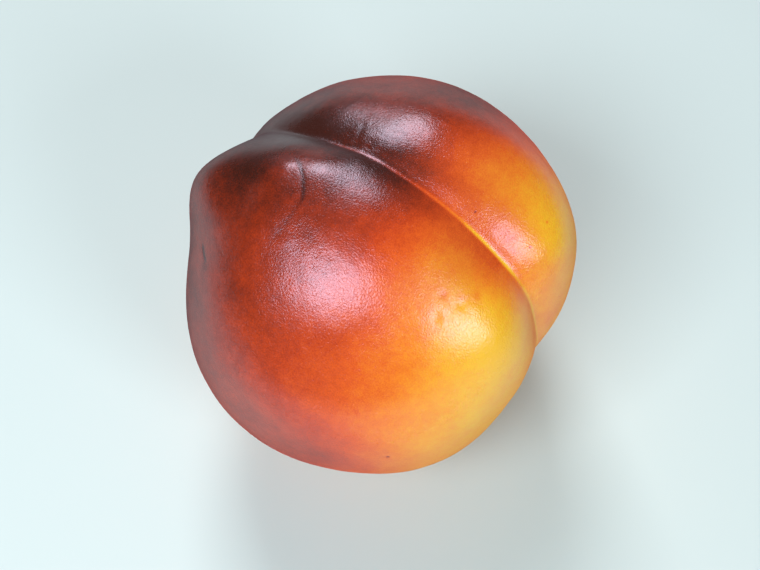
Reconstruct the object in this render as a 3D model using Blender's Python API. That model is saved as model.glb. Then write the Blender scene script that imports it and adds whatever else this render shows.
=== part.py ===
"""A nectarine lying on its side, in metres, with +Z up and the middle of its resting spot at the origin.

The fruit is one solid. Its own frame has +X to the tip, +Z to the seam and +Y to the near cheek.
It starts as a sphere whose poles are the middles of the two cheeks, so that its rings run beside the
seam. Each point then moves out or in along its own direction, by the sum of a lopsided egg, a few broad
swellings and flats, the seam's furrow and the stem hollow. The whole is turned as the fruit lies, and
what would reach below the surface is pressed flat.

Two angles, in degrees, name a place on the skin. "along" runs over the seam side, from -90 at the stem
through 0 to 90 at the tip, and on over the back. "across" is positive towards the near cheek.
"""

import math
from dataclasses import dataclass

import bmesh
import bpy
from mathutils import Matrix, Vector

NAME = "nectarine"

# How far the flesh reaches from its middle, each way
REACH_TIP = 0.0334
REACH_STEM = 0.0357
REACH_SEAM = 0.0319
REACH_BACK = 0.0338
REACH_NEAR_CHEEK = 0.0405
REACH_FAR_CHEEK = 0.0346

# The seam: where it runs, and its two-part section, a broad valley with a sharp crease in it
SEAM_LEAN = -2.4
SEAM_SWING = -8.0
SEAM_BOW = -8.2
VALLEY_DEPTH = 0.0012
VALLEY_WIDTH_NEAR = 11.6
VALLEY_WIDTH_FAR = 20.8
CREASE_DEPTH = 0.00155
CREASE_WIDTH = 5.5
CREASE_ROUNDING = 0.8
CREASE_STEEPNESS_FAR = 1.25

# The seam's depth along it: whole in the middle, this share of it at the tip, none at the stem
DEPTH_AT_TIP = 0.39
TIP_SHALLOWING = (60.0, 95.0)
STEM_SHALLOWING = (45.0, 90.0)
SEAM_END_TIP = (95.0, 125.0)

# The hollow that the stem grew from
STEM_HOLLOW_DEPTH = 0.0075
STEM_HOLLOW_WIDTH = 15.0

# How the fruit lies
TIP_BEARING = 154.5
TIP_RISE = 20.7
ROLL = -12.4
MIDDLE_OVER_SPOT = Vector((0.0002, 0.0024, 0.0335))

# The mesh: meridians round the fruit, rings beside the seam, and how closely the rings crowd to it
MERIDIANS = 72
RINGS = 46
CROWDING = 0.4
RINGS_STRAIGHTEN = (110.0, 170.0)

SKIN_COLOUR = (0.62, 0.13, 0.045, 1.0)
SKIN_ROUGHNESS = 0.42


@dataclass(frozen=True)
class Swelling:
    """A soft rise of the skin, or a flat or dent where the height is negative."""

    along: float
    across: float
    height: float
    spread: float


TIP_CONE = Swelling(along=79.0, across=-3.0, height=0.00175, spread=14.5)
TIP_CLEFT = Swelling(along=81.0, across=-2.0, height=-0.00280, spread=9.2)
BEAK = Swelling(along=78.0, across=8.0, height=0.00365, spread=13.1)
TIP_KNOB = Swelling(along=94.0, across=13.0, height=0.00120, spread=9.3)
SHOULDER_BY_TIP = Swelling(along=55.0, across=10.0, height=0.00320, spread=14.8)
SHOULDER_DIP = Swelling(along=55.0, across=12.0, height=-0.00195, spread=8.9)
CHEEK_DIP_BY_TIP = Swelling(along=78.0, across=47.0, height=-0.00050, spread=9.4)
NEAR_LIP = Swelling(along=38.0, across=-1.0, height=0.00045, spread=6.3)
NEAR_CROWN = Swelling(along=14.0, across=40.0, height=0.00110, spread=12.5)
NEAR_CROWN_FLAT = Swelling(along=10.0, across=44.0, height=-0.00265, spread=18.4)
NEAR_SHOULDER_BY_STEM = Swelling(along=-37.0, across=10.0, height=0.00215, spread=16.7)
NEAR_STEM_FLAT = Swelling(along=-80.0, across=26.0, height=-0.00215, spread=20.9)
NEAR_FLANK = Swelling(along=31.0, across=64.0, height=0.00065, spread=10.8)
NEAR_CHEEK_FLAT = Swelling(along=53.0, across=73.0, height=-0.00180, spread=20.7)
NEAR_FLANK_BY_STEM = Swelling(along=-78.0, across=73.0, height=-0.00350, spread=32.3)
FAR_LIP = Swelling(along=32.0, across=-15.0, height=0.00190, spread=11.7)
FAR_LIP_DIP = Swelling(along=34.0, across=-17.0, height=-0.00175, spread=13.2)
FAR_CROWN = Swelling(along=16.0, across=-32.0, height=0.00075, spread=11.2)
FAR_DIP_BY_TIP = Swelling(along=50.0, across=-46.0, height=-0.00085, spread=11.6)
FAR_SHOULDER = Swelling(along=-47.0, across=-23.0, height=0.00340, spread=21.0)
FAR_SHOULDER_KNOB = Swelling(along=-37.0, across=-17.0, height=0.00095, spread=9.4)
FAR_FLANK = Swelling(along=-21.0, across=-31.0, height=0.00330, spread=23.1)
FAR_STEM_FLAT = Swelling(along=-59.0, across=-20.0, height=-0.00420, spread=39.6)
SWELLINGS = (
    TIP_CONE,
    TIP_CLEFT,
    BEAK,
    TIP_KNOB,
    SHOULDER_BY_TIP,
    SHOULDER_DIP,
    CHEEK_DIP_BY_TIP,
    NEAR_LIP,
    NEAR_CROWN,
    NEAR_CROWN_FLAT,
    NEAR_SHOULDER_BY_STEM,
    NEAR_STEM_FLAT,
    NEAR_FLANK,
    NEAR_CHEEK_FLAT,
    NEAR_FLANK_BY_STEM,
    FAR_LIP,
    FAR_LIP_DIP,
    FAR_CROWN,
    FAR_DIP_BY_TIP,
    FAR_SHOULDER,
    FAR_SHOULDER_KNOB,
    FAR_FLANK,
    FAR_STEM_FLAT,
)
STEM_DIRECTION = Vector((-1.0, 0.0, 0.0))


def blend(value, start, end):
    """0 up to start, 1 from end, and a smooth rise between them."""
    share = min(max((value - start) / (end - start), 0.0), 1.0)
    return share * share * (3.0 - 2.0 * share)


def direction(along, across):
    """The unit vector from the fruit's middle to a place on the skin."""
    turn = math.radians(along)
    tilt = math.radians(across)
    return Vector((math.cos(tilt) * math.sin(turn), math.sin(tilt), math.cos(tilt) * math.cos(turn)))


def place(way):
    """The along and across angles of a unit vector."""
    along = math.degrees(math.atan2(way.x, way.z))
    across = math.degrees(math.asin(min(max(way.y, -1.0), 1.0)))
    return along, across


def egg(way):
    """Reach of the lopsided egg: six half-axes, one for each side."""
    length = REACH_TIP if way.x > 0 else REACH_STEM
    width = REACH_NEAR_CHEEK if way.y > 0 else REACH_FAR_CHEEK
    height = REACH_SEAM if way.z > 0 else REACH_BACK
    return Vector((way.x / length, way.y / width, way.z / height)).length ** -1


def swell(way):
    """What the swellings and flats add to the reach."""
    total = 0.0
    for swelling in SWELLINGS:
        nearness = 1.0 - way.dot(direction(swelling.along, swelling.across))
        total += swelling.height * math.exp(-nearness / (1.0 - math.cos(math.radians(swelling.spread))))
    return total


def seam_across(along):
    """The across angle that the seam runs through at this along angle."""
    turn = math.radians(along)
    return SEAM_LEAN + SEAM_SWING * math.sin(turn) + SEAM_BOW * math.cos(turn)


def seam_share(along):
    """The share of the seam's full depth that it has at this along angle."""
    by_tip = 1.0 - (1.0 - DEPTH_AT_TIP) * blend(along, *TIP_SHALLOWING)
    by_stem = 1.0 - blend(-along, *STEM_SHALLOWING)
    return by_tip * by_stem * (1.0 - blend(along, *SEAM_END_TIP))


def furrow(way):
    """Depth of the seam under the lobes beside it."""
    along, across = place(way)
    aside = across - seam_across(along)
    width = VALLEY_WIDTH_NEAR if aside > 0 else VALLEY_WIDTH_FAR
    valley = VALLEY_DEPTH * math.exp(-((aside / width) ** 2))
    rounded = math.hypot(aside, CREASE_ROUNDING) - CREASE_ROUNDING
    steepness = 1.0 if aside > 0 else CREASE_STEEPNESS_FAR
    crease = CREASE_DEPTH * math.exp(-((rounded / CREASE_WIDTH) ** steepness))
    return seam_share(along) * (valley + crease)


def stem_hollow(way):
    """Depth of the funnel round the stem's place."""
    apart = math.degrees(way.angle(STEM_DIRECTION))
    return STEM_HOLLOW_DEPTH * math.exp(-((apart / STEM_HOLLOW_WIDTH) ** 2))


def skin_point(way):
    """The point of the skin that lies this way from the fruit's middle, in the fruit's own frame."""
    return way * (egg(way) + swell(way) - furrow(way) - stem_hollow(way))


def crowd_to_seam(way):
    """Moves a point of the even sphere so that the rings run beside the seam, close together near it."""
    along, across = place(way)
    share = across / 90.0
    crowded = 90.0 * share * (CROWDING + (1.0 - CROWDING) * abs(share))
    follow = (1.0 - abs(share)) * (1.0 - blend(abs(along), *RINGS_STRAIGHTEN))
    return direction(along, crowded + follow * seam_across(along))


def as_it_lies():
    """The turn from the fruit's own frame to the way it rests."""
    bearing = Matrix.Rotation(math.radians(TIP_BEARING), 3, "Z")
    rise = Matrix.Rotation(math.radians(-TIP_RISE), 3, "Y")
    roll = Matrix.Rotation(math.radians(ROLL), 3, "X")
    return bearing @ rise @ roll


def build_mesh():
    """The fruit's closed mesh, resting on Z = 0."""
    bm = bmesh.new()
    bmesh.ops.create_uvsphere(bm, u_segments=MERIDIANS, v_segments=RINGS, radius=1.0)
    cheeks_as_poles = Matrix.Rotation(math.radians(-90.0), 3, "X")
    turn = as_it_lies()
    for vertex in bm.verts:
        way = crowd_to_seam((cheeks_as_poles @ vertex.co).normalized())
        point = MIDDLE_OVER_SPOT + turn @ skin_point(way)
        vertex.co = Vector((point.x, point.y, max(point.z, 0.0)))
    mesh = bpy.data.meshes.new(NAME)
    bm.to_mesh(mesh)
    bm.free()
    mesh.shade_smooth()
    return mesh


def skin_material():
    """Satin skin in the fruit's middle colour."""
    material = bpy.data.materials.new("nectarine_skin")
    material.use_nodes = True
    shader = material.node_tree.nodes["Principled BSDF"]
    shader.inputs["Base Color"].default_value = SKIN_COLOUR
    shader.inputs["Roughness"].default_value = SKIN_ROUGHNESS
    shader.inputs["Metallic"].default_value = 0.0
    return material


def main():
    for old in list(bpy.data.objects):
        bpy.data.objects.remove(old, do_unlink=True)
    collection = bpy.data.collections.new(NAME)
    bpy.context.scene.collection.children.link(collection)
    fruit = bpy.data.objects.new(NAME, build_mesh())
    fruit.data.materials.append(skin_material())
    collection.objects.link(fruit)


main()
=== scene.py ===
"""A ripe nectarine on a pale floor, dressed round the fixed frame of its CAD model."""

import logging
import math
from dataclasses import dataclass, fields
from enum import Enum

import bpy
from mathutils import Matrix, Vector


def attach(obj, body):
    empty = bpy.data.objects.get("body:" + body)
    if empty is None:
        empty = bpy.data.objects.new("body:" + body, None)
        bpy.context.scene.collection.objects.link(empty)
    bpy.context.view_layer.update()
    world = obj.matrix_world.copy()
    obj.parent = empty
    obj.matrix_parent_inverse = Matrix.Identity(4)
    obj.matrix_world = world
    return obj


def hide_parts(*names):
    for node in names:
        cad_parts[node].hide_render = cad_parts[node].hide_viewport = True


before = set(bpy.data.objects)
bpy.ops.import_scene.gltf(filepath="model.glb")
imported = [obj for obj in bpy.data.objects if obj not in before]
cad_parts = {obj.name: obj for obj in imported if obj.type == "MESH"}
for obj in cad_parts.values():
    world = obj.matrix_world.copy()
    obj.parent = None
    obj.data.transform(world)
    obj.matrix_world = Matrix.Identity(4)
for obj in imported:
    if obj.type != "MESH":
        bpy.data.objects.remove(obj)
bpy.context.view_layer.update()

LOG = logging.getLogger("nectarine")
PICTURE_WIDTH = 760
MM = 0.001
QUARTER_TURN = 90.0

# A thin line fades out between these shares of half its length
LINE_FADES_FROM = 0.5
LINE_FADES_TO = 1.1

# Where a Mix node takes its two colours and gives the mixed one
MIX_FIRST = 6
MIX_SECOND = 7
MIX_RESULT = 2

# Where a new stop of a colour ramp stands before it gets its own place
NEW_STOP = 0.5


class TreeKind(Enum):
    """The two kinds of node tree, by the type of the tree."""

    GEOMETRY = "GeometryNodeTree"
    SHADER = "ShaderNodeTree"


class Socket(Enum):
    """The kinds of input and output that a node group here can have."""

    NUMBER = "NodeSocketFloat"
    COUNT = "NodeSocketInt"
    VECTOR = "NodeSocketVector"
    GEOMETRY = "NodeSocketGeometry"
    MATERIAL = "NodeSocketMaterial"


class Mark(Enum):
    """What the skin's mesh remembers of the fruit at each point, as named attributes."""

    WAY = "way"
    ASIDE = "aside"
    SEAM = "seam"


class Draw(Enum):
    """Which noise each pattern takes, counted on from the seed."""

    FIRST = 0.0
    DAPPLE = 1.0
    SPECKLE = 2.0
    GLOSS = 3.0
    WAVINESS = 5.0
    SCARS = 6.0
    RIBS = 9.0


class Wire:
    """A value on its way through a node tree. A sum or a function of it adds the node that works it out."""

    def __init__(self, socket: bpy.types.NodeSocket) -> None:
        """Keeps the output socket that carries the value."""
        self.socket = socket

    @property
    def tree(self) -> bpy.types.NodeTree:
        """The tree that the value runs in."""
        return self.socket.id_data

    def __add__(self, other: "Wire | float") -> "Wire":
        """The sum of both."""
        return work("ADD", self, other)

    def __sub__(self, other: "Wire | float") -> "Wire":
        """What is left after the other is taken away."""
        return work("SUBTRACT", self, other)

    def __rsub__(self, other: float) -> "Wire":
        """What is left of the number after this is taken away."""
        return work("SUBTRACT", other, self)

    def __mul__(self, other: "Wire | float") -> "Wire":
        """The product of both."""
        return work("MULTIPLY", self, other)

    def __truediv__(self, other: "Wire | float") -> "Wire":
        """This divided by the other."""
        return work("DIVIDE", self, other)

    def __rtruediv__(self, other: float) -> "Wire":
        """The number divided by this."""
        return work("DIVIDE", other, self)

    def __neg__(self) -> "Wire":
        """The opposite value."""
        return work("MULTIPLY", self, -1.0)

    __radd__ = __add__
    __rmul__ = __mul__


def add_node(
    tree: bpy.types.NodeTree, kind: str, values: dict[str | int, object] | None = None, **settings: object
) -> bpy.types.Node:
    """Adds a node to a tree, sets its options and feeds its inputs.

    Args:
        tree: the tree that gets the node.
        kind: the type of the node.
        values: a wire or a plain value for each input, by the input's name or number.
        **settings: the node's own options.

    Returns:
        The new node.
    """
    node = tree.nodes.new(kind)
    for option, value in settings.items():
        setattr(node, option, value)
    for slot, value in (values or {}).items():
        if isinstance(value, Wire):
            tree.links.new(value.socket, node.inputs[slot])
        else:
            node.inputs[slot].default_value = value
    return node


def tree_of(values: tuple[object, ...]) -> bpy.types.NodeTree:
    """The tree of the first wire among the values."""
    return next(value.tree for value in values if isinstance(value, Wire))


def work(operation: str, *values: "Wire | float") -> Wire:
    """A value worked out by one Math node from the values."""
    node = add_node(tree_of(values), "ShaderNodeMath", dict(enumerate(values)), operation=operation)
    return Wire(node.outputs[0])


def vector_work(operation: str, *values: "Wire | Vector") -> Wire:
    """A vector worked out by one Vector Math node from the values."""
    node = add_node(tree_of(values), "ShaderNodeVectorMath", dict(enumerate(values)), operation=operation)
    return Wire(node.outputs["Vector"])


def gap(one: "Wire | Vector", other: "Wire | Vector") -> Wire:
    """The distance between two points."""
    node = add_node(tree_of((one, other)), "ShaderNodeVectorMath", {0: one, 1: other}, operation="DISTANCE")
    return Wire(node.outputs["Value"])


def scaled(vector: Wire, factor: "Wire | float") -> Wire:
    """The vector made longer by the factor."""
    node = add_node(vector.tree, "ShaderNodeVectorMath", {0: vector, "Scale": factor}, operation="SCALE")
    return Wire(node.outputs["Vector"])


def parts(vector: Wire) -> tuple[Wire, Wire, Wire]:
    """The three parts of a vector."""
    node = add_node(vector.tree, "ShaderNodeSeparateXYZ", {0: vector})
    return tuple(Wire(output) for output in node.outputs)


def joined(*values: "Wire | float") -> Wire:
    """The vector of three parts."""
    node = add_node(tree_of(values), "ShaderNodeCombineXYZ", dict(enumerate(values)))
    return Wire(node.outputs[0])


def smooth(value: Wire, start: "Wire | float", end: "Wire | float") -> Wire:
    """A smooth rise from 0 to 1.

    Args:
        value: the value that it goes by.
        start: the value up to which it is 0.
        end: the value from which on it is 1.

    Returns:
        The rise.
    """
    node = add_node(
        value.tree,
        "ShaderNodeMapRange",
        {"Value": value, "From Min": start, "From Max": end},
        interpolation_type="SMOOTHSTEP",
    )
    return Wire(node.outputs["Result"])


def hump(value: Wire, width: "Wire | float") -> Wire:
    """1 where the value is 0, fading as a bell curve over the width."""
    share = value / width
    return work("EXPONENT", -(share * share))


def angle_between(one: "Wire | Vector", other: "Wire | Vector") -> Wire:
    """The angle in degrees between two directions of length 1."""
    return work("DEGREES", work("ARCSINE", gap(one, other) / 2.0)) * 2.0


def noise(
    vector: Wire,
    scale: "Wire | float",
    detail: "Wire | float",
    seed: "Wire | float",
    distortion: float = 0.0,
) -> Wire:
    """Smooth noise between 0 and 1.

    Args:
        vector: the place that the noise is read at.
        scale: how many cells the noise has in a length of 1.
        detail: how many finer layers of noise are laid over the first.
        seed: which noise of its kind it is.
        distortion: how far the cells are pulled out of shape.

    Returns:
        The noise.
    """
    node = add_node(
        vector.tree,
        "ShaderNodeTexNoise",
        {"Vector": vector, "W": seed, "Scale": scale, "Detail": detail, "Distortion": distortion},
        noise_dimensions="4D",
    )
    return Wire(node.outputs[0])


def ripple(vector: Wire, scale: "Wire | float", detail: "Wire | float", seed: "Wire | float") -> Wire:
    """Smooth noise between -1 and 1, with the same inputs as noise."""
    return (noise(vector, scale, detail, seed) - 0.5) * 2.0


class Group:
    """A node group with named inputs and outputs, built once and placed with its own values each time."""

    def __init__(
        self, name: str, kind: TreeKind, inputs: dict[str, Socket], outputs: dict[str, Socket]
    ) -> None:
        """Makes the empty group.

        Args:
            name: the group's name.
            kind: the kind of tree that it is placed in.
            inputs: the kind of each named input.
            outputs: the kind of each named output.
        """
        self.kind = kind
        self.tree = bpy.data.node_groups.new(name, kind.value)
        for side, sockets in (("INPUT", inputs), ("OUTPUT", outputs)):
            for label, socket in sockets.items():
                self.tree.interface.new_socket(label, in_out=side, socket_type=socket.value)
        self.entry = self.tree.nodes.new("NodeGroupInput")
        self.exit = self.tree.nodes.new("NodeGroupOutput")

    def given(self, label: str) -> Wire:
        """The value that comes in under the label."""
        return Wire(self.entry.outputs[label])

    def give(self, label: str, wire: Wire) -> None:
        """Sends a value out under the label."""
        self.tree.links.new(wire.socket, self.exit.inputs[label])

    def place(self, tree: bpy.types.NodeTree, values: dict[str, object]) -> Wire:
        """Places the group in a tree.

        Args:
            tree: the tree that gets the group.
            values: a wire or a plain value for each named input.

        Returns:
            The group's first output.
        """
        node_type = self.kind.value.replace("NodeTree", "NodeGroup")
        return Wire(add_node(tree, node_type, values, node_tree=self.tree).outputs[0])


def direction(along: float, across: float) -> Vector:
    """A direction in the fruit's own frame.

    Args:
        along: degrees round the seam's plane, -90 at the stem end, 0 over the seam, 90 at the tip.
        across: degrees out of that plane, -90 at the far cheek and 90 at the near one.

    Returns:
        The direction, of length 1.
    """
    turn, tilt = math.radians(along), math.radians(across)
    return Vector((math.cos(tilt) * math.sin(turn), math.sin(tilt), math.cos(tilt) * math.cos(turn)))


@dataclass(frozen=True)
class Spot:
    """A round patch of skin: a swelling, a hollow or a breath of colour that fades from its middle."""

    along: float
    across: float
    height: float
    spread: float


@dataclass(frozen=True)
class Line:
    """A thin line on the skin, on the circle through three places on it, each along and across."""

    start: tuple[float, float]
    middle: tuple[float, float]
    end: tuple[float, float]
    depth: float
    width: float

    def centre(self) -> Vector:
        """The direction of the middle of the line's circle."""
        first, second, third = (direction(*place) for place in (self.start, self.middle, self.end))
        return (second - first).cross(third - first).normalized()

    def radius(self) -> float:
        """The circle's radius as seen from the fruit's middle, in degrees."""
        return math.degrees(self.centre().angle(direction(*self.middle)))

    def half_length(self) -> float:
        """How far the line's farther end is from its middle place, in degrees."""
        middle = direction(*self.middle)
        return math.degrees(max(middle.angle(direction(*self.start)), middle.angle(direction(*self.end))))


def spot_group(kind: TreeKind) -> Group:
    """A group that gives the height of one round spot at a direction.

    Args:
        kind: the kind of tree that the group is placed in.

    Returns:
        The group, with inputs Way, Middle, Height and Spread and output Height.
    """
    group = Group(
        f"Round spot {kind.name.lower()}",
        kind,
        {"Way": Socket.VECTOR, "Middle": Socket.VECTOR, "Height": Socket.NUMBER, "Spread": Socket.NUMBER},
        {"Height": Socket.NUMBER},
    )
    apart = gap(group.given("Way"), group.given("Middle"))
    reach = 1.0 - work("COSINE", work("RADIANS", group.given("Spread")))
    fading = work("EXPONENT", -(apart * apart / (reach * 2.0)))
    group.give("Height", fading * group.given("Height"))
    return group


def line_group(kind: TreeKind) -> Group:
    """A group that gives the depth of one thin line at a direction.

    Args:
        kind: the kind of tree that the group is placed in.

    Returns:
        The group, with an input for each size of a Line and output Depth.
    """
    sizes = {label: Socket.NUMBER for label in ("Radius", "Half length", "Depth", "Width")}
    vectors = {label: Socket.VECTOR for label in ("Way", "Centre", "Middle")}
    group = Group(f"Thin line {kind.name.lower()}", kind, {**vectors, **sizes}, {"Depth": Socket.NUMBER})
    beside = angle_between(group.given("Way"), group.given("Centre")) - group.given("Radius")
    from_middle = angle_between(group.given("Way"), group.given("Middle"))
    half_length = group.given("Half length")
    ends = 1.0 - smooth(from_middle, half_length * LINE_FADES_FROM, half_length * LINE_FADES_TO)
    group.give("Depth", hump(beside, group.given("Width")) * ends * group.given("Depth"))
    return group


class Marker:
    """Lays round spots and thin lines on the fruit in one tree, with one group for each, built once."""

    def __init__(self, tree: bpy.types.NodeTree, kind: TreeKind, way: Wire) -> None:
        """Builds the two groups.

        Args:
            tree: the tree that gets the spots and lines.
            kind: the kind of that tree.
            way: the direction of each point of the skin.
        """
        self.tree = tree
        self.way = way
        self.spot = spot_group(kind)
        self.line = line_group(kind)

    def spots(self, spots: tuple[Spot, ...]) -> Wire:
        """Adds up the heights of spots.

        Args:
            spots: the spots.

        Returns:
            The sum of their heights at each point.
        """
        heights = []
        for spot in spots:
            middle = direction(spot.along, spot.across)
            sizes = {"Way": self.way, "Middle": middle, "Height": spot.height, "Spread": spot.spread}
            heights.append(self.spot.place(self.tree, sizes))
        return sum(heights[1:], heights[0])

    def lines(self, lines: tuple[Line, ...]) -> Wire:
        """Adds up the depths of lines.

        Args:
            lines: the lines.

        Returns:
            The sum of their depths at each point.
        """
        depths = []
        for line in lines:
            sizes = {
                "Way": self.way,
                "Centre": line.centre(),
                "Middle": direction(*line.middle),
                "Radius": line.radius(),
                "Half length": line.half_length(),
                "Depth": line.depth,
                "Width": line.width,
            }
            depths.append(self.line.place(self.tree, sizes))
        return sum(depths[1:], depths[0])


@dataclass(frozen=True)
class FruitForm:
    """The sizes of the fruit's form, in metres and degrees, in the fruit's own frame.

    Its +X goes to the tip, +Z to the seam and +Y to the near cheek.
    """

    # How far the flesh reaches from its middle, each way
    reach_tip: float = 0.0334
    reach_stem: float = 0.0357
    reach_seam: float = 0.0319
    reach_back: float = 0.0338
    reach_near_cheek: float = 0.0405
    reach_far_cheek: float = 0.0346

    # The seam: where it runs, and its section, a broad valley with a sharp crease in it
    seam_lean: float = -2.4
    seam_swing: float = -8.0
    seam_bow: float = -8.2
    valley_depth: float = 0.0012
    valley_width_near: float = 11.6
    valley_width_far: float = 20.8
    crease_depth: float = 0.00155
    crease_width: float = 5.5
    crease_rounding: float = 0.8
    crease_steepness_far: float = 1.25

    # Where the seam gets shallow and where it ends
    depth_at_tip: float = 0.39
    tip_shallowing_start: float = 60.0
    tip_shallowing_end: float = 95.0
    stem_shallowing_start: float = 45.0
    stem_shallowing_end: float = 90.0
    seam_end_start: float = 95.0
    seam_end_end: float = 125.0

    # The hollow that the stem grew from, and the soft ribs in it
    stem_hollow_depth: float = 0.0075
    stem_hollow_width: float = 15.0
    ribs_round_stem: float = 13.0
    rib_height: float = 0.00016
    ribs_from_stem: float = 11.0
    ribs_spread: float = 6.0
    rib_unevenness: float = 4.0
    rib_layers: float = 0.0

    # How the fruit lies
    tip_bearing: float = 154.5
    tip_rise: float = 20.7
    roll: float = -12.4

    # The mesh: meridians round the fruit, rings beside the seam, and how closely the rings crowd to it
    meridians: int = 440
    rings: int = 226
    crowding: float = 0.55
    straighten_start: float = 110.0
    straighten_end: float = 170.0

    # The leather and the slow waviness of the skin
    leather_height: float = 0.000035
    leather_fineness: float = 24.0
    leather_layers: float = 2.0
    waviness_height: float = 0.00012
    waviness_fineness: float = 4.0
    waviness_layers: float = 1.0
    seed: float = 11.0


# The fruit's middle over the middle of its resting spot, and the way from it to the stem
MIDDLE_OVER_SPOT = Vector((0.0002, 0.0024, 0.0335))
STEM_WAY = Vector((-1.0, 0.0, 0.0))

# Swellings of the large form, and flats and dents where the height is below 0
TIP_SWELLINGS = (
    Spot(79, -3, 0.00175, 14.5),
    Spot(81, -2, -0.0028, 9.2),
    Spot(78, 8, 0.00365, 13.1),
    Spot(94, 13, 0.0012, 9.3),
    Spot(55, 10, 0.0032, 14.8),
    Spot(55, 12, -0.00195, 8.9),
    Spot(78, 47, -0.0005, 9.4),
)

NEAR_SWELLINGS = (
    Spot(38, -1, 0.00045, 6.3),
    Spot(14, 40, 0.0011, 12.5),
    Spot(10, 44, -0.00265, 18.4),
    Spot(-37, 10, 0.00215, 16.7),
    Spot(-80, 26, -0.00215, 20.9),
    Spot(31, 64, 0.00065, 10.8),
    Spot(53, 73, -0.0018, 20.7),
    Spot(-78, 73, -0.0035, 32.3),
)

FAR_SWELLINGS = (
    Spot(32, -15, 0.0019, 11.7),
    Spot(34, -17, -0.00175, 13.2),
    Spot(16, -32, 0.00075, 11.2),
    Spot(50, -46, -0.00085, 11.6),
    Spot(-47, -23, 0.0034, 21.0),
    Spot(-37, -17, 0.00095, 9.4),
    Spot(-21, -31, 0.0033, 23.1),
    Spot(-59, -20, -0.0042, 39.6),
)

# Small bumps of the skin, and pits where the height is below 0
BUMPS_AND_PITS = (
    Spot(46.4, 1.6, 0.00012, 2.2),
    Spot(35.7, 21.0, 0.00007, 1.6),
    Spot(-17.5, 12.7, -0.00016, 1.1),
    Spot(-12.0, 13.2, -0.00010, 1.3),
    Spot(-13.8, 19.1, -0.00014, 1.3),
    Spot(-16.6, 19.6, 0.00009, 0.9),
    Spot(0.6, 36.8, -0.00005, 0.8),
    Spot(-52.6, 58.6, -0.00010, 1.0),
    Spot(97.0, 9.0, -0.0004, 1.6),
    Spot(-90.0, 0.0, -0.0006, 3.2),
)

# Creases of the skin, and a ridge where the depth is below 0
CREASES = (
    Line((46.5, -2.0), (39.6, 3.3), (36.9, 8.2), 0.00003, 0.6),
    Line((36.9, 9.0), (38.0, 16.0), (40.8, 24.8), 0.00003, 1.0),
    Line((70.4, 27.5), (69.2, 29.7), (67.0, 32.0), 0.00012, 0.6),
    Line((36.9, -17.0), (36.6, -20.5), (39.9, -23.8), 0.00004, 0.8),
    Line((-11.5, -12.2), (-22.7, -9.5), (-34.0, -8.7), -0.00009, 1.6),
    Line((33.0, -16.4), (29.0, -16.2), (25.6, -17.2), 0.00004, 0.8),
)

# Where the leather stands higher, and how many times its height is added
WRINKLED = (
    Spot(31.0, -17.0, 2.6, 7.0),
    Spot(-17.0, 13.0, 2.0, 6.0),
    Spot(22.0, 22.0, 1.0, 11.0),
)


class Seam:
    """The furrow that runs over the fruit from the stem end to the tip, worked out from the form's sizes."""

    def __init__(self, shape: Group, along: Wire, across: Wire) -> None:
        """Works out where a point lies beside the seam.

        Args:
            shape: the group whose inputs give the sizes.
            along: the point's place round the seam's plane, in degrees.
            across: the point's place out of that plane, in degrees.
        """
        self.size = shape.given
        self.along = along
        self.middle = self.across_at(along)
        self.aside = across - self.middle

    def across_at(self, along: Wire) -> Wire:
        """Works out where the seam's bottom lies.

        Args:
            along: the place along the seam, in degrees.

        Returns:
            The seam's place across there, in degrees.
        """
        turn = work("RADIANS", along)
        swing = self.size("Seam swing") * work("SINE", turn)
        bow = self.size("Seam bow") * work("COSINE", turn)
        return self.size("Seam lean") + swing + bow

    def share(self) -> Wire:
        """Works out how shallow the seam is towards its ends.

        Returns:
            How much of its full depth the seam has at the point's place along it.
        """
        at_tip = smooth(self.along, self.size("Tip shallowing start"), self.size("Tip shallowing end"))
        at_stem = smooth(-self.along, self.size("Stem shallowing start"), self.size("Stem shallowing end"))
        past_tip = smooth(self.along, self.size("Seam end start"), self.size("Seam end end"))
        shallow = 1.0 - (1.0 - self.size("Depth at tip")) * at_tip
        return shallow * (1.0 - at_stem) * (1.0 - past_tip)

    def depth(self) -> Wire:
        """Works out the furrow's section: a wide valley with a narrow crease at its bottom.

        Returns:
            How deep the furrow is at the point.
        """
        near = work("GREATER_THAN", self.aside, 0.0)
        far_width, near_width = self.size("Valley width far"), self.size("Valley width near")
        valley = hump(self.aside, far_width + (near_width - far_width) * near)
        rounding = self.size("Crease rounding")
        rounded = work("SQRT", self.aside * self.aside + rounding * rounding) - rounding
        steepness_far = self.size("Crease steepness far")
        steepness = steepness_far + (1.0 - steepness_far) * near
        crease = work("EXPONENT", -work("POWER", rounded / self.size("Crease width"), steepness))
        full = valley * self.size("Valley depth") + crease * self.size("Crease depth")
        return full * self.share()


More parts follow.
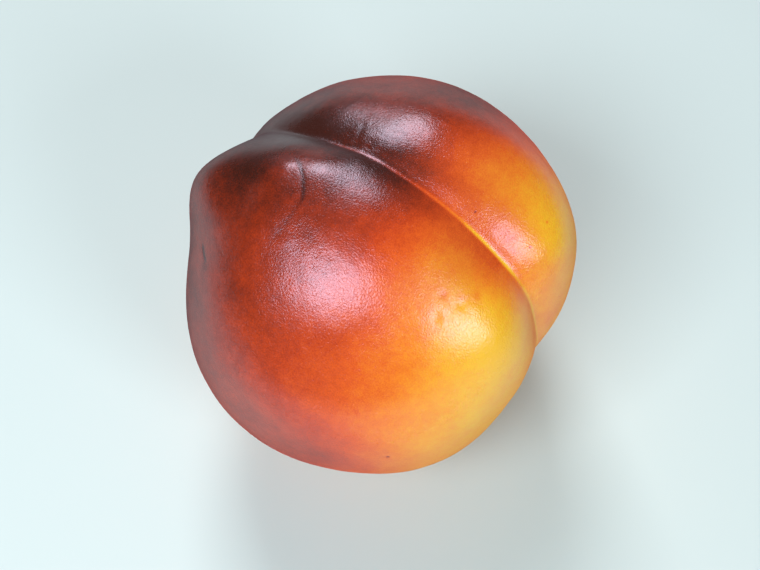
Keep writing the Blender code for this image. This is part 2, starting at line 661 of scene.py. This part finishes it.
@dataclass
class Skin:
    """The nectarine itself: one closed skin, grown as one piece."""

    form: FruitForm = FruitForm()
    swellings: tuple[Spot, ...] = TIP_SWELLINGS + NEAR_SWELLINGS + FAR_SWELLINGS
    fine_spots: tuple[Spot, ...] = BUMPS_AND_PITS
    wrinkled: tuple[Spot, ...] = WRINKLED
    creases: tuple[Line, ...] = CREASES
    name: str = "nectarine_skin"

    def size_labels(self) -> dict[str, tuple[Socket, float]]:
        """Names the inputs of the shape's tree after the sizes of the form.

        Returns:
            The kind and value of each named input.
        """
        sizes = {}
        for size in fields(self.form):
            value = getattr(self.form, size.name)
            kind = Socket.COUNT if isinstance(value, int) else Socket.NUMBER
            sizes[size.name.replace("_", " ").capitalize()] = (kind, value)
        return sizes

    def crowd_to_seam(self, shape: Group, start: Wire) -> Wire:
        """Brings the rings of the sphere closer together at the seam, and lets them run beside it.

        Args:
            shape: the group whose inputs give the sizes.
            start: the direction of a point of the even sphere.

        Returns:
            The new direction of the point.
        """
        x, y, z = parts(start)
        along = work("DEGREES", work("ARCTAN2", x, z))
        share = work("DEGREES", work("ARCSINE", y)) / QUARTER_TURN
        size_of_share = work("ABSOLUTE", share)
        even = shape.given("Crowding")
        crowded = share * (even + (1.0 - even) * size_of_share) * QUARTER_TURN
        straight = smooth(
            work("ABSOLUTE", along), shape.given("Straighten start"), shape.given("Straighten end")
        )
        follow = (1.0 - size_of_share) * (1.0 - straight)
        across = crowded + follow * Seam(shape, along, crowded).middle
        turn, tilt = work("RADIANS", along), work("RADIANS", across)
        level = work("COSINE", tilt)
        return joined(level * work("SINE", turn), work("SINE", tilt), level * work("COSINE", turn))

    def egg(self, shape: Group, way: Wire) -> Wire:
        """Works out the lopsided egg under all the swellings.

        Args:
            shape: the group whose inputs give the sizes.
            way: the direction of each point.

        Returns:
            How far the egg reaches in that direction.
        """
        tip_to_stem = ("Reach tip", "Reach stem")
        cheek_to_cheek = ("Reach near cheek", "Reach far cheek")
        seam_to_back = ("Reach seam", "Reach back")
        shares = []
        for part, (ahead, behind) in zip(parts(way), (tip_to_stem, cheek_to_cheek, seam_to_back)):
            side = work("GREATER_THAN", part, 0.0)
            reach = shape.given(behind) + (shape.given(ahead) - shape.given(behind)) * side
            shares.append(part / reach)
        total = sum((share * share for share in shares[1:]), shares[0] * shares[0])
        return 1.0 / work("SQRT", total)

    def fine_relief(self, shape: Group, marker: Marker) -> Wire:
        """Adds up the small forms of the skin: pits, creases, leather, a slow waviness and the stem's ribs.

        Args:
            shape: the group whose inputs give the sizes.
            marker: what lays the spots and lines in that group.

        Returns:
            The height of the small forms at each point.
        """
        way, seed = marker.way, shape.given("Seed")
        leather = ripple(way, shape.given("Leather fineness"), shape.given("Leather layers"), seed)
        leather = leather * (marker.spots(self.wrinkled) + 1.0) * shape.given("Leather height")
        slow = seed + Draw.WAVINESS.value
        waviness = ripple(way, shape.given("Waviness fineness"), shape.given("Waviness layers"), slow)
        rough = leather + waviness * shape.given("Waviness height")
        small = marker.spots(self.fine_spots) - marker.lines(self.creases)
        return small + rough + self.ribs(shape, way)

    def ribs(self, shape: Group, way: Wire) -> Wire:
        """Works out the soft ribs that run down into the stem hollow, each a little uneven.

        Args:
            shape: the group whose inputs give the sizes.
            way: the direction of each point.

        Returns:
            The height of the ribs at each point.
        """
        _, y, z = parts(way)
        fineness, layers = shape.given("Waviness fineness"), shape.given("Rib layers")
        uneven = noise(way, fineness, layers, shape.given("Seed") + Draw.RIBS.value)
        turn = work("ARCTAN2", y, z) * shape.given("Ribs round stem")
        phase = turn + uneven * shape.given("Rib unevenness")
        beside = angle_between(way, STEM_WAY) - shape.given("Ribs from stem")
        return work("SINE", phase) * hump(beside, shape.given("Ribs spread")) * shape.given("Rib height")

    def build_shape(self) -> Group:
        """Builds the tree that grows the skin.

        Returns:
            The tree, with a named input for each size and one for the finish.
        """
        inputs = {label: kind for label, (kind, _) in self.size_labels().items()}
        inputs["Finish"] = Socket.MATERIAL
        shape = Group("Nectarine shape", TreeKind.GEOMETRY, inputs, {"Skin": Socket.GEOMETRY})
        tree, size = shape.tree, shape.given
        ball = add_node(
            tree,
            "GeometryNodeMeshUVSphere",
            {"Segments": size("Meridians"), "Rings": size("Rings"), "Radius": 1.0},
        )
        x, y, z = parts(Wire(tree.nodes.new("GeometryNodeInputPosition").outputs[0]))
        grown = self.keep(Wire(ball.outputs["Mesh"]), Mark.WAY, self.crowd_to_seam(shape, joined(x, z, -y)))

        way = self.kept(tree, Mark.WAY)
        x, y, z = parts(way)
        along = work("DEGREES", work("ARCTAN2", x, z))
        seam = Seam(shape, along, work("DEGREES", work("ARCSINE", y)))
        grown = self.keep(grown, Mark.ASIDE, seam.aside)
        grown = self.keep(grown, Mark.SEAM, seam.share())

        marker = Marker(tree, TreeKind.GEOMETRY, way)
        hollow = hump(angle_between(way, STEM_WAY), size("Stem hollow width")) * size("Stem hollow depth")
        reach = self.egg(shape, way) + marker.spots(self.swellings) - seam.depth() - hollow
        reach = reach + self.fine_relief(shape, marker)

        grown = self.lay_down(shape, grown, scaled(way, reach))
        smoothed = add_node(tree, "GeometryNodeSetShadeSmooth", {"Geometry": grown})
        whole = add_node(tree, "GeometryNodeRealizeInstances", {"Geometry": Wire(smoothed.outputs[0])})
        dressed = add_node(
            tree, "GeometryNodeSetMaterial", {"Geometry": Wire(whole.outputs[0]), "Material": size("Finish")}
        )
        shape.give("Skin", Wire(dressed.outputs[0]))
        return shape

    def keep(self, grown: Wire, mark: Mark, value: Wire) -> Wire:
        """Stores a value at each point of the skin.

        Args:
            grown: the skin's mesh so far.
            mark: the name that the value is kept under.
            value: the value.

        Returns:
            The mesh with the value.
        """
        kind = "FLOAT_VECTOR" if mark is Mark.WAY else "FLOAT"
        values = {"Geometry": grown, "Name": mark.value, "Value": value}
        store = "GeometryNodeStoreNamedAttribute"
        return Wire(add_node(grown.tree, store, values, data_type=kind, domain="POINT").outputs[0])

    def kept(self, tree: bpy.types.NodeTree, mark: Mark) -> Wire:
        """Reads back the vector stored under the mark's name."""
        read = "GeometryNodeInputNamedAttribute"
        return Wire(add_node(tree, read, {"Name": mark.value}, data_type="FLOAT_VECTOR").outputs[0])

    def lay_down(self, shape: Group, grown: Wire, point: Wire) -> Wire:
        """Turns the fruit as it lies, lifts it onto its spot and flattens what rests on the floor.

        Args:
            shape: the group whose inputs give the sizes.
            grown: the skin's mesh so far.
            point: where each point is in the fruit's own frame.

        Returns:
            The mesh with its points in place.
        """
        angles = joined(
            work("RADIANS", shape.given("Roll")),
            work("RADIANS", -shape.given("Tip rise")),
            work("RADIANS", shape.given("Tip bearing")),
        )
        turned = add_node(
            shape.tree,
            "ShaderNodeVectorRotate",
            {"Vector": point, "Rotation": angles},
            rotation_type="EULER_XYZ",
        )
        placed = vector_work("ADD", Wire(turned.outputs[0]), MIDDLE_OVER_SPOT)
        x, y, z = parts(placed)
        resting = joined(x, y, work("MAXIMUM", z, 0.0))
        node = add_node(shape.tree, "GeometryNodeSetPosition", {"Geometry": grown, "Position": resting})
        return Wire(node.outputs[0])

    def build(self, finish: bpy.types.Material) -> bpy.types.Object:
        """Grows the skin and makes it a plain mesh that stands for the CAD solid.

        Args:
            finish: the skin's material.

        Returns:
            The finished piece.
        """
        mesh = bpy.data.meshes.new(self.name)
        piece = bpy.data.objects.new(self.name, mesh)
        bpy.context.scene.collection.objects.link(piece)
        shape = self.build_shape()
        modifier = piece.modifiers.new("Nectarine shape", "NODES")
        modifier.node_group = shape.tree
        values = {label: value for label, (_, value) in self.size_labels().items()}
        values["Finish"] = finish
        for item in shape.tree.interface.items_tree:
            if item.in_out == "INPUT":
                modifier[item.identifier] = values[item.name]
        graph = bpy.context.evaluated_depsgraph_get()
        grown = bpy.data.meshes.new_from_object(
            piece.evaluated_get(graph), preserve_all_data_layers=True, depsgraph=graph
        )
        piece.modifiers.clear()
        piece.data = grown
        grown.name = self.name
        bpy.data.meshes.remove(mesh)
        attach(piece, "root")
        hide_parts("nectarine")
        LOG.info("%s: %d points, %d faces", piece.name, len(grown.vertices), len(grown.polygons))
        return piece


class Pigment(Enum):
    """The colours that the skin goes through as it ripens: how ripe it is, and its red, green and blue."""

    YELLOW = (0.00, 1.00, 0.52, 0.020)
    AMBER = (0.15, 0.98, 0.36, 0.017)
    ORANGE = (0.30, 0.92, 0.21, 0.013)
    VERMILION = (0.45, 0.78, 0.10, 0.009)
    RED = (0.60, 0.55, 0.050, 0.006)
    CRIMSON = (0.75, 0.30, 0.026, 0.004)
    MAROON = (0.90, 0.11, 0.012, 0.003)
    BLACK_CHERRY = (1.00, 0.045, 0.008, 0.003)


# Where the skin is riper, and less ripe where the height is below 0
BLUSH = (
    Spot(73, -17, 0.80, 70),
    Spot(76, -4, 0.09, 13),
    Spot(53, -16, 0.08, 8),
    Spot(57, 6, 0.12, 8),
    Spot(23, -10, 0.26, 24),
    Spot(27, 36, 0.18, 28),
    Spot(7, -56, 0.34, 21),
    Spot(59, 89, 0.40, 33),
    Spot(94, 42, 0.30, 27),
    Spot(-2, 8, -0.06, 13),
    Spot(-5, -25, -0.07, 14),
    Spot(-57, 37, -0.15, 22),
    Spot(-30, -20, -0.36, 16),
    Spot(-29, 9, -0.36, 19),
    Spot(-26, -6, 0.38, 16),
    Spot(-45, 76, 0.10, 9),
    Spot(45, -6, -0.08, 8),
    Spot(0, -26, -0.04, 12),
    Spot(-3, 3, -0.03, 8),
)

# Where the fine leather and the roughness at the rim are weaker, and by what share
CALM = (
    Spot(58.0, -16.0, 0.70, 9.0),
    Spot(52.0, -3.0, 0.65, 8.0),
)

# Where the skin is rougher, and by how much
DULL = (
    Spot(-90.0, 0.0, 0.35, 12.0),
)

# Painted shade: where the skin is turned towards the brown of the scars to darken it, and by what share
PAINTED_SHADE = (
    Spot(-7.0, -23.0, 0.20, 14.0),
    Spot(-9.0, 4.0, 0.18, 12.0),
)

# The dry scars where the stem and the flower came off
DRY_SCARS = (
    Spot(-90.0, 0.0, 1.0, 5.5),
    Spot(97.0, 9.0, 1.0, 1.3),
)

# Small dark specks, and how much they add to the ripeness
DARK_SPECKS = (
    Spot(-52.6, 58.6, 0.5, 0.5),
    Spot(-28.3, -13.7, 0.4, 0.35),
    Spot(-28.9, -21.8, 0.3, 0.4),
    Spot(-8.4, -13.5, 0.4, 0.35),
    Spot(50.5, 37.2, 0.07, 2.5),
    Spot(67.7, 33.0, 0.10, 1.8),
    Spot(-12.0, 13.2, 0.12, 1.2),
    Spot(-16.6, 11.0, 0.10, 1.0),
    Spot(-20.5, 8.0, 0.10, 1.5),
)

# Thin dark lines, and pale ones where the depth is below 0, by how much they add to the ripeness
DARK_LINES = (
    # The first three darken the skin along the first three creases: painted shade in them
    Line((46.5, -2.0), (39.6, 3.3), (36.9, 8.2), 0.13, 0.6),
    Line((36.9, 9.0), (38.0, 16.0), (40.8, 24.8), 0.05, 0.8),
    Line((70.4, 27.5), (69.2, 29.7), (67.0, 32.0), 0.3, 0.5),
    # A pale line painted along the seam's bottom: a painted highlight for its glint
    Line((-6.0, -9.7), (-19.0, -7.5), (-32.0, -5.1), -0.3, 0.7),
    # Darkens the seam's bottom near the tip, taking back the painted highlight of the pale seam line there
    Line((45.0, -13.8), (60.0, -13.4), (80.0, -11.7), 0.18, 0.7),
)


@dataclass(frozen=True)
class SkinFinish:
    """The look of the skin: how ripe it is from place to place, its gloss and its fine leather."""

    # The ripeness everywhere, and what the furrow's parts add to it or take away
    base_ripeness: float = 0.134
    seam_flush: float = 0.09
    seam_flush_width: float = 9.0
    wall_shade: float = 0.02
    wall_shade_width: float = 3.0
    wall_shade_start: float = -0.3
    wall_shade_full: float = 1.0
    # A pale line along the seam's bottom: a painted highlight for the glint there
    painted_seam_glint: float = 0.18
    painted_seam_glint_width: float = 0.6
    far_wall_pale: float = 0.05
    far_wall_middle: float = -2.2
    far_wall_width: float = 2.2

    # Uneven ripeness, from broad mottle to fine speckle
    mottle: float = 0.09
    mottle_fineness: float = 7.0
    mottle_layers: float = 2.0
    dapple: float = 0.08
    dapple_fineness: float = 26.0
    dapple_layers: float = 3.0
    speckle: float = 0.16
    speckle_fineness: float = 150.0
    speckle_layers: float = 2.0

    # The gloss, which is duller at the rim
    roughness: float = 0.255
    roughness_change: float = 0.05
    roughness_layers: float = 2.0
    roughness_at_rim: float = 0.8
    rim_blend: float = 0.5
    rim_sharpness: float = 4.0
    specular_level: float = 0.80
    specular_tint: tuple[float, float, float, float] = (0.95, 0.80, 1.0, 1.0)

    # The finest leather, which is too small for the mesh
    leather_depth_mm: float = 0.055
    leather_fineness: float = 105.0
    leather_layers: float = 2.0
    leather_distortion: float = 0.6

    # The dry scars and their ragged edge
    scar_colour: tuple[float, float, float, float] = (0.29, 0.13, 0.03, 1.0)
    scar_raggedness: float = 0.25
    scar_edge_start: float = 0.35
    scar_edge_end: float = 0.6

    seed: float = 4.0

    def pattern(self, marker: Marker, fineness: float, layers: float, draw: Draw) -> Wire:
        """Smooth noise between -1 and 1 on the skin, from one of the draws."""
        return ripple(marker.way, fineness, layers, self.seed + draw.value)

    def ripeness(self, marker: Marker) -> Wire:
        """How ripe the skin is, from 0 where it is yellow to 1 where it is nearly black.

        Args:
            marker: what lays the spots and lines in the material's tree.

        Returns:
            The ripeness.
        """
        marks = marker.spots(DARK_SPECKS) + marker.lines(DARK_LINES)
        uneven = (
            self.pattern(marker, self.mottle_fineness, self.mottle_layers, Draw.FIRST) * self.mottle
            + self.pattern(marker, self.dapple_fineness, self.dapple_layers, Draw.DAPPLE) * self.dapple
            + self.pattern(marker, self.speckle_fineness, self.speckle_layers, Draw.SPECKLE) * self.speckle
        )
        return marker.spots(BLUSH) + self.base_ripeness + self.by_seam(marker.tree) + marks + uneven

    def by_seam(self, tree: bpy.types.NodeTree) -> Wire:
        """What the furrow adds to the ripeness: a flush, painted shade on the near wall, a pale line painted
        along the bottom as a highlight for its glint, and a paler far wall.

        Args:
            tree: the material's tree.

        Returns:
            The change in the ripeness.
        """
        aside, seam = self.kept(tree, Mark.ASIDE), self.kept(tree, Mark.SEAM)
        flush = hump(aside, self.seam_flush_width) * self.seam_flush
        wall = smooth(aside, self.wall_shade_start, self.wall_shade_full)
        wall = wall * work("EXPONENT", -(work("MAXIMUM", aside, 0.0) / self.wall_shade_width))
        # The painted highlight along the seam's bottom
        pale = hump(aside, self.painted_seam_glint_width) * self.painted_seam_glint
        furrow = (flush + wall * self.wall_shade - pale) * seam
        return furrow - self.far_wall(tree) * self.far_wall_pale

    def kept(self, tree: bpy.types.NodeTree, mark: Mark) -> Wire:
        """Reads the number that the mesh keeps under the mark's name."""
        node = add_node(tree, "ShaderNodeAttribute", attribute_name=mark.value)
        return Wire(node.outputs["Fac"])

    def far_wall(self, tree: bpy.types.NodeTree) -> Wire:
        """1 on the furrow's far wall, fading on both sides of it and at the furrow's ends."""
        beside = self.kept(tree, Mark.ASIDE) - self.far_wall_middle
        return hump(beside, self.far_wall_width) * self.kept(tree, Mark.SEAM)

    def colour(self, ripeness: Wire) -> Wire:
        """Turns a ripeness into the skin's colour.

        Args:
            ripeness: how ripe the skin is.

        Returns:
            The colour.
        """
        ramp = add_node(ripeness.tree, "ShaderNodeValToRGB", {"Fac": ripeness})
        stops = ramp.color_ramp.elements
        while len(stops) < len(Pigment):
            stops.new(NEW_STOP)
        for stop, pigment in zip(stops, Pigment):
            place, *colour = pigment.value
            stop.position = place
            stop.color = (*colour, 1.0)
        return Wire(ramp.outputs["Color"])

    def with_scars_and_painted_shade(self, marker: Marker, skin: Wire) -> Wire:
        """Lays the dry scars of the stem and the flower, and painted shade in their brown elsewhere, on a
        colour.

        Args:
            marker: what lays the spots in the material's tree.
            skin: the skin's colour without them.

        Returns:
            The skin's colour with them.
        """
        uneven = self.pattern(marker, self.dapple_fineness, self.dapple_layers, Draw.SCARS)
        ragged = marker.spots(DRY_SCARS) + uneven * self.scar_raggedness
        # The painted shade spots add to the scars' share of brown, darkening the skin there
        brown = smooth(ragged, self.scar_edge_start, self.scar_edge_end) + marker.spots(PAINTED_SHADE)
        colours = {"Factor": brown, MIX_FIRST: skin, MIX_SECOND: self.scar_colour}
        mix = add_node(marker.tree, "ShaderNodeMix", colours, data_type="RGBA", blend_type="MIX")
        return Wire(mix.outputs[MIX_RESULT])

    def unevenness(self, marker: Marker, calm: Wire) -> Wire:
        """Works out the roughness that comes on top of the skin's own: dapple, rim and dull places.

        Args:
            marker: what lays the spots in the material's tree.
            calm: how much of the rim's roughness there is at each point.

        Returns:
            The roughness to add.
        """
        dapple = self.pattern(marker, self.dapple_fineness, self.roughness_layers, Draw.GLOSS)
        rim = add_node(marker.tree, "ShaderNodeLayerWeight", {"Blend": self.rim_blend})
        rim = work("POWER", Wire(rim.outputs["Facing"]), self.rim_sharpness) * calm * self.roughness_at_rim
        return dapple * self.roughness_change + rim + marker.spots(DULL)

    def leather(self, marker: Marker, strength: Wire) -> Wire:
        """Makes the fine wrinkles of the skin.

        Args:
            marker: what knows the direction of each point in the material's tree.
            strength: how strong the wrinkles are at each point.

        Returns:
            The normal of the wrinkled skin.
        """
        layers, distortion = self.leather_layers, self.leather_distortion
        cells = noise(marker.way, self.leather_fineness, layers, self.seed, distortion)
        sizes = {"Height": cells * strength, "Distance": self.leather_depth_mm * MM}
        return Wire(add_node(marker.tree, "ShaderNodeBump", sizes).outputs["Normal"])

    def material(self) -> bpy.types.Material:
        """Makes the material.

        Returns:
            The skin's material.
        """
        material = bpy.data.materials.new("nectarine_skin")
        material.use_nodes = True
        tree = material.node_tree
        stored = add_node(tree, "ShaderNodeAttribute", attribute_name=Mark.WAY.value)
        marker = Marker(tree, TreeKind.SHADER, vector_work("NORMALIZE", Wire(stored.outputs["Vector"])))
        calm = 1.0 - marker.spots(CALM)
        shader = tree.nodes["Principled BSDF"]
        shader.distribution = "GGX"
        shader.inputs["Specular IOR Level"].default_value = self.specular_level
        shader.inputs["Specular Tint"].default_value = self.specular_tint
        looks = {
            "Base Color": self.with_scars_and_painted_shade(marker, self.colour(self.ripeness(marker))),
            "Roughness": self.unevenness(marker, calm) + self.roughness,
            "Normal": self.leather(marker, calm),
        }
        for label, wire in looks.items():
            tree.links.new(wire.socket, shader.inputs[label])
        return material


@dataclass(frozen=True)
class Lamp:
    """A soft lamp, by where its light comes from as the picture shows it.

    The three parts of its way go to the picture's right, up in it and towards the viewer.
    """

    name: str
    way: tuple[float, float, float]
    width: float
    height: float
    distance: float
    power: float
    tint: tuple[float, float, float]


@dataclass
class Studio:
    """The pale floor, the soft lamps and the camera."""

    elevation: float = 60.0
    lens: float = 60.0
    film_width: float = 36.0
    distance: float = 0.2246
    nearest_view: float = 0.01
    right_shift_px: float = 7.1
    up_shift_px: float = 17.0
    lamps: tuple[Lamp, ...] = (
        Lamp("lamp_behind", (-0.14, 0.95, 0.29), 0.45, 0.73, 1.2, 10.4, (0.93, 0.95, 0.97)),
        Lamp("lamp_right", (0.57, -0.31, 0.76), 0.45, 0.42, 1.2, 6.0, (0.86, 0.95, 1.0)),
        Lamp("lamp_left", (-0.38, -0.12, 0.92), 0.33, 0.22, 0.55, 2.5, (0.86, 0.95, 1.0)),
    )
    surroundings: tuple[float, float, float] = (0.80, 0.90, 0.93)
    surroundings_strength: float = 0.07
    floor_half: float = 1.5
    floor_colour: tuple[float, float, float, float] = (0.635, 0.71, 0.695, 1.0)
    floor_roughness: float = 0.75

    def axes(self) -> tuple[Vector, Vector, Vector]:
        """Works out how the picture lies in the scene.

        Returns:
            The picture's right, its up, and the way to the viewer.
        """
        rise = math.radians(self.elevation)
        up = Vector((0.0, math.sin(rise), math.cos(rise)))
        back = Vector((0.0, -math.cos(rise), math.sin(rise)))
        return Vector((1.0, 0.0, 0.0)), up, back

    def build_camera(self) -> None:
        """Makes the camera at the photograph's angle."""
        right, up, back = self.axes()
        camera = bpy.data.objects.new("camera", bpy.data.cameras.new("camera"))
        camera.data.lens = self.lens
        camera.data.sensor_width = self.film_width
        camera.data.clip_start = self.nearest_view
        step = self.distance * self.film_width / (self.lens * PICTURE_WIDTH)
        aside = right * self.right_shift_px * step + up * self.up_shift_px * step
        place = MIDDLE_OVER_SPOT - aside + back * self.distance
        camera.matrix_world = Matrix.Translation(place) @ Matrix((right, up, back)).transposed().to_4x4()
        bpy.context.scene.collection.objects.link(camera)
        bpy.context.scene.camera = camera
        LOG.info("camera: %.0f degrees up", self.elevation)

    def build_lamps(self) -> None:
        """Makes the soft lamps and the dim surroundings."""
        for lamp in self.lamps:
            light = bpy.data.lights.new(lamp.name, "AREA")
            light.shape = "RECTANGLE"
            light.size, light.size_y = lamp.width, lamp.height
            light.energy = lamp.power
            light.color = lamp.tint
            way = sum((axis * part for axis, part in zip(self.axes(), lamp.way)), Vector()).normalized()
            piece = bpy.data.objects.new(lamp.name, light)
            piece.location = MIDDLE_OVER_SPOT + way * lamp.distance
            piece.rotation_euler = way.to_track_quat("Z", "Y").to_euler()
            piece.visible_camera = False
            bpy.context.scene.collection.objects.link(piece)
            LOG.info("%s: %.1f W", lamp.name, lamp.power)
        world = bpy.data.worlds.new("surroundings")
        world.use_nodes = True
        background = world.node_tree.nodes["Background"]
        background.inputs["Color"].default_value = (*self.surroundings, 1.0)
        background.inputs["Strength"].default_value = self.surroundings_strength
        bpy.context.scene.world = world

    def build_floor(self) -> None:
        """Makes the plain pale floor."""
        half = self.floor_half
        corners = [(-half, -half, 0), (half, -half, 0), (half, half, 0), (-half, half, 0)]
        mesh = bpy.data.meshes.new("floor")
        mesh.from_pydata(corners, [], [(0, 1, 2, 3)])
        material = bpy.data.materials.new("floor")
        material.use_nodes = True
        shader = material.node_tree.nodes["Principled BSDF"]
        shader.inputs["Base Color"].default_value = self.floor_colour
        shader.inputs["Roughness"].default_value = self.floor_roughness
        mesh.materials.append(material)
        floor = bpy.data.objects.new("floor", mesh)
        bpy.context.scene.collection.objects.link(floor)
        LOG.info("%s: %.1f m wide", floor.name, 2 * half)

    def build(self) -> None:
        """Makes everything round the fruit."""
        self.build_floor()
        self.build_lamps()
        self.build_camera()
        bpy.context.scene.view_settings.view_transform = "Standard"


def main() -> None:
    """Builds the fruit and then the studio round it."""
    logging.basicConfig(level=logging.INFO, format="%(name)s %(message)s")
    Skin().build(SkinFinish().material())
    Studio().build()


if __name__ == "__main__":
    main()
